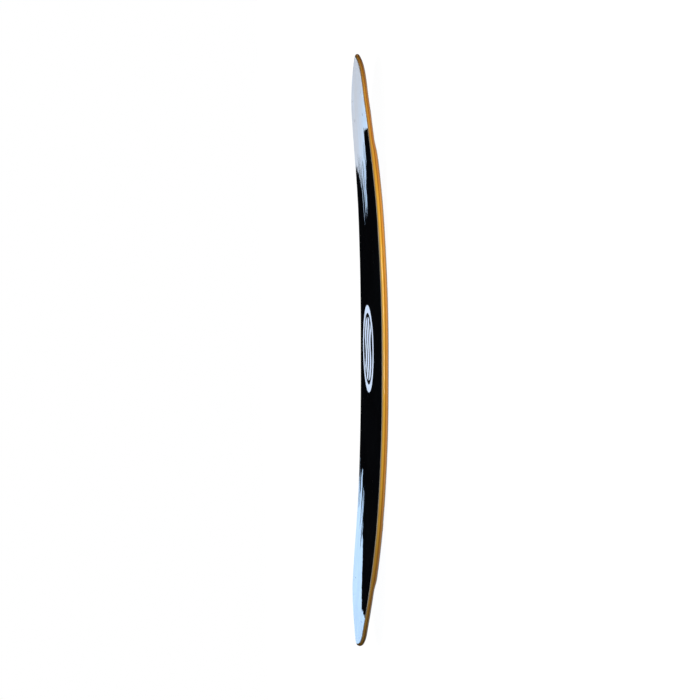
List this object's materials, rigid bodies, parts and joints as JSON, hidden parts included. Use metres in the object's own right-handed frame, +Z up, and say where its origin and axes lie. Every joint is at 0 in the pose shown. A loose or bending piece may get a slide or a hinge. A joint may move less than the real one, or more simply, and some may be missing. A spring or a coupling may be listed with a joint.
{
  "type": "kiteboard",
  "caption": "Twin-tip kiteboard deck with a laminated wood core, cast rail, rockered base and threaded inserts for pads, handle and fins.",
  "frame": {"origin": "the middle of the board, on the plane that the base rests on", "axes": "+X along the board to the nose, +Y across it to the heel edge, +Z up through the deck"},
  "size_m": [1.38, 0.41, 0.0501],
  "materials": {
    "deck_film": "gloss",
    "base_film": "gloss",
    "deck_laminate": "satin",
    "base_laminate": "satin",
    "cast_rail": "gloss",
    "paulownia": "matte",
    "hardwood": "matte",
    "insert_brass": "satin",
    "ferrule_steel": "satin"
  },
  "bodies": {
    "root": {"top_sheet": "deck_film", "top_laminate": "deck_laminate", "bottom_laminate": "base_laminate", "base_sheet": "base_film", "toe_side_rail": "cast_rail", "heel_side_rail": "cast_rail", "nose_tip_rail": "cast_rail", "tail_tip_rail": "cast_rail", "centre_stringer": "hardwood", "toe_stringer": "hardwood", "heel_stringer": "hardwood", "toe_inner_strip_1": "paulownia", "toe_inner_strip_2": "paulownia", "toe_outer_strip_1": "paulownia", "toe_outer_strip_2": "paulownia", "toe_outer_strip_3": "paulownia", "toe_outer_strip_4": "paulownia", "heel_inner_strip_1": "paulownia", "heel_inner_strip_2": "paulownia", "heel_outer_strip_1": "paulownia", "heel_outer_strip_2": "paulownia", "heel_outer_strip_3": "paulownia", "heel_outer_strip_4": "paulownia", "front_pad_inserts": "insert_brass", "rear_pad_inserts": "insert_brass", "handle_inserts": "insert_brass", "nose_toe_fin_ferrules": "ferrule_steel", "nose_heel_fin_ferrules": "ferrule_steel", "tail_toe_fin_ferrules": "ferrule_steel", "tail_heel_fin_ferrules": "ferrule_steel"}
  },
  "joints": []
}
